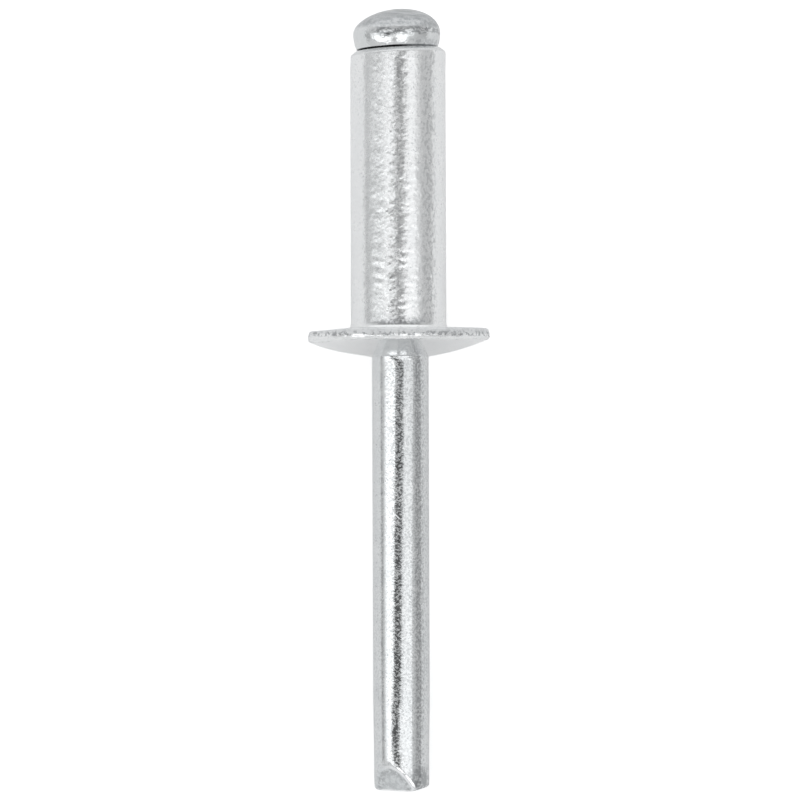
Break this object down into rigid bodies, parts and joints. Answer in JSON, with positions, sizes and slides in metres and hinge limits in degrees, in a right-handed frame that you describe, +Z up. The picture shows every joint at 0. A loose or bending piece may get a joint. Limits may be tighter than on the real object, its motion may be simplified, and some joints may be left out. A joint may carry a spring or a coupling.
{
  "type": "pop rivet",
  "caption": "Unset open-end blind rivet: a round sleeve with a wide domed flange, threaded on a wire mandrel with a domed head and a bevelled, cropped tip.",
  "frame": {"origin": "on the surface that the rivet lies on, under the middle of its outline", "axes": "+Z up from that surface; +Y along the rivet as it lies, from the wire's tip to the mandrel head, with the axis rising about 7.9 degrees; +X across it"},
  "size_m": [0.0122, 0.0522, 0.0121],
  "materials": {
    "aluminium_body": "satin, as cold-formed and tumbled",
    "zinc_plated_wire": "clear zinc plating over drawn wire, fairly bright"
  },
  "bodies": {
    "root": {"rivet_body": "aluminium_body", "mandrel": "zinc_plated_wire"}
  },
  "joints": []
}
